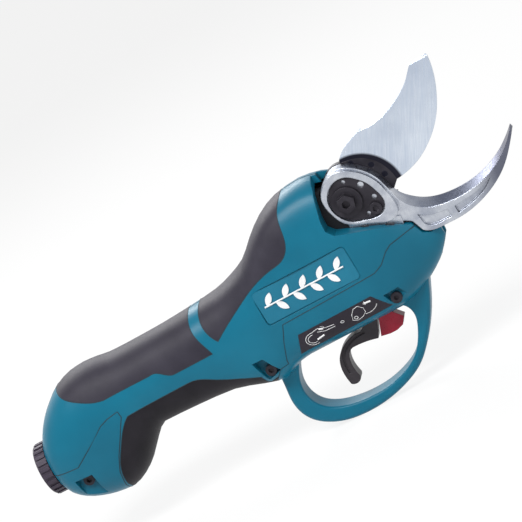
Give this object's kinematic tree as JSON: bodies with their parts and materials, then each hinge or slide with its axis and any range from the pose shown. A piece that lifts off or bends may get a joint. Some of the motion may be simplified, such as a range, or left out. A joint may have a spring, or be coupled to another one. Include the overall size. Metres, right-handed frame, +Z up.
{
  "type": "battery electric pruner",
  "caption": "Handheld battery electric pruner with a curved grip, finger guard and trigger, a fixed hook blade and a swinging cutting blade driven by a screw and rack.",
  "frame": {"origin": "on the blade pivot axis, at the mid plane of the tool", "axes": "+X forward along the motor and screw axis towards the blades, +Z up, away from the finger guard, +Y to the left; the blades swing about Y"},
  "size_m": [0.3092, 0.0478, 0.1516],
  "materials": {
    "casing": "teal moulded plastic, fine satin grain",
    "grip_rubber": "soft over-moulded grip, matt",
    "lower_rubber": "soft over-moulded grip, matt, darker",
    "label": "dark printed label",
    "plate": "satin plate",
    "black_steel": "black oxide",
    "forged_steel": "satin forged and ground",
    "blade_steel": "bright ground across the blade",
    "bare_steel": "turned",
    "frame_aluminium": "dark die-cast",
    "brass": "satin",
    "copper": "enamelled copper",
    "magnet": "ferrite and carbon",
    "inner_plastic": "moulded",
    "board": "circuit board",
    "trigger_plastic": "moulded, satin",
    "lock_plastic": "clear red, faceted",
    "socket_plastic": "moulded",
    "ring_plastic": "moulded, ribbed",
    "wire": "insulated wire"
  },
  "bodies": {
    "casing": {"housing_right": "casing", "housing_left": "casing", "guard_housing": "casing", "rear_cap": "casing", "rear_top_grip": "grip_rubber", "front_top_grip": "grip_rubber", "lower_grip": "lower_rubber", "label_right": "label", "label_left": "label", "name_plate_right": "plate", "name_plate_left": "plate", "housing_screws": "black_steel", "hook_blade": "forged_steel", "locking_plate": "black_steel", "pivot_bolt": "black_steel", "locking_screw": "black_steel", "hook_screws": "black_steel", "pivot_bush": "brass", "head_frame": "frame_aluminium", "pivot_nut": "black_steel", "nut_guides": "inner_plastic", "front_bearing": "bare_steel", "front_bearing_block": "frame_aluminium", "screw_bearing": "bare_steel", "gearbox_case": "frame_aluminium", "motor_case": "bare_steel", "motor_end_cap": "inner_plastic", "motor_bearings": "bare_steel", "motor_magnets": "magnet", "motor_brushes": "magnet", "trigger_pin": "bare_steel", "lock_pin": "bare_steel", "trigger_spring": "bare_steel", "trigger_sensor_board": "board", "control_board": "board", "board_components": "inner_plastic", "heat_sink": "frame_aluminium", "cord_socket": "socket_plastic", "contact_pins": "brass", "power_wires": "wire", "signal_cable": "wire"},
    "lock_ring": {"socket_lock_ring": "ring_plastic"},
    "rotor": {"rotor_core": "bare_steel", "rotor_windings": "copper", "commutator": "copper", "motor_shaft": "bare_steel", "sun_gear": "bare_steel"},
    "carrier": {"planet_carrier": "bare_steel", "planet_pins": "bare_steel", "ball_screw": "bare_steel"},
    "planet_1": {"planet_gear_1": "bare_steel"},
    "planet_2": {"planet_gear_2": "bare_steel"},
    "planet_3": {"planet_gear_3": "bare_steel"},
    "nut": {"ball_nut": "bare_steel", "rack": "bare_steel"},
    "blade": {"cutting_blade": "blade_steel", "blade_gear": "black_steel", "blade_rivets": "blade_steel"},
    "trigger": {"trigger": "trigger_plastic"},
    "trigger_lock": {"trigger_lock": "lock_plastic"}
  },
  "joints": [
    {"name": "motor_spin", "type": "hinge", "parent": "casing", "child": "rotor", "pos_m": [-0.11, 0, -0.0375], "axis": [1, 0, 0], "range_deg": [0, 6513.91]},
    {"name": "screw_spin", "type": "hinge", "parent": "casing", "child": "carrier", "pos_m": [-0.081, 0, -0.0375], "axis": [1, 0, 0], "range_deg": [0, 1447.65]},
    {"name": "planet_1_spin", "type": "hinge", "parent": "carrier", "child": "planet_1", "pos_m": [-0.0876, 0.0081, -0.0375], "axis": [1, 0, 0], "range_deg": [-4055.41, 0]},
    {"name": "planet_2_spin", "type": "hinge", "parent": "carrier", "child": "planet_2", "pos_m": [-0.0876, -0.00405, -0.03049], "axis": [1, 0, 0], "range_deg": [-4055.41, 0]},
    {"name": "planet_3_spin", "type": "hinge", "parent": "carrier", "child": "planet_3", "pos_m": [-0.0876, -0.00405, -0.04451], "axis": [1, 0, 0], "range_deg": [-4055.41, 0]},
    {"name": "nut_slide", "type": "slide", "parent": "casing", "child": "nut", "axis": [1, 0, 0], "range_m": [-0.02011, 0]},
    {"name": "blade_swing", "type": "hinge", "parent": "casing", "child": "blade", "pos_m": [0, 0, 0], "axis": [0, 1, 0], "range_deg": [0, 48]},
    {"name": "trigger_pull", "type": "hinge", "parent": "casing", "child": "trigger", "pos_m": [-0.023, 0, -0.0545], "axis": [0, 1, 0], "range_deg": [0, 12], "stiffness_Nm_per_rad": 0.12, "springref_deg": -5.73},
    {"name": "trigger_lock_swing", "type": "hinge", "parent": "casing", "child": "trigger_lock", "pos_m": [-0.014, 0, -0.057], "axis": [0, -1, 0], "range_deg": [0, 12], "stiffness_Nm_per_rad": 0.05, "springref_deg": -5.73},
    {"name": "lock_ring_turn", "type": "hinge", "parent": "casing", "child": "lock_ring", "pos_m": [-0.214, 0, -0.0543], "axis": [1, 0, 0], "range_deg": [0, 45]}
  ],
  "couplings": [
    {"joint": "screw_spin", "follows": "motor_spin", "ratio": 0.22222},
    {"joint": "planet_1_spin", "follows": "motor_spin", "ratio": -0.62222},
    {"joint": "planet_2_spin", "follows": "motor_spin", "ratio": -0.62222},
    {"joint": "planet_3_spin", "follows": "motor_spin", "ratio": -0.62222},
    {"joint": "nut_slide", "follows": "motor_spin", "m_per_rad": -0.00017684},
    {"joint": "blade_swing", "follows": "motor_spin", "ratio": 0.0073683}
  ]
}
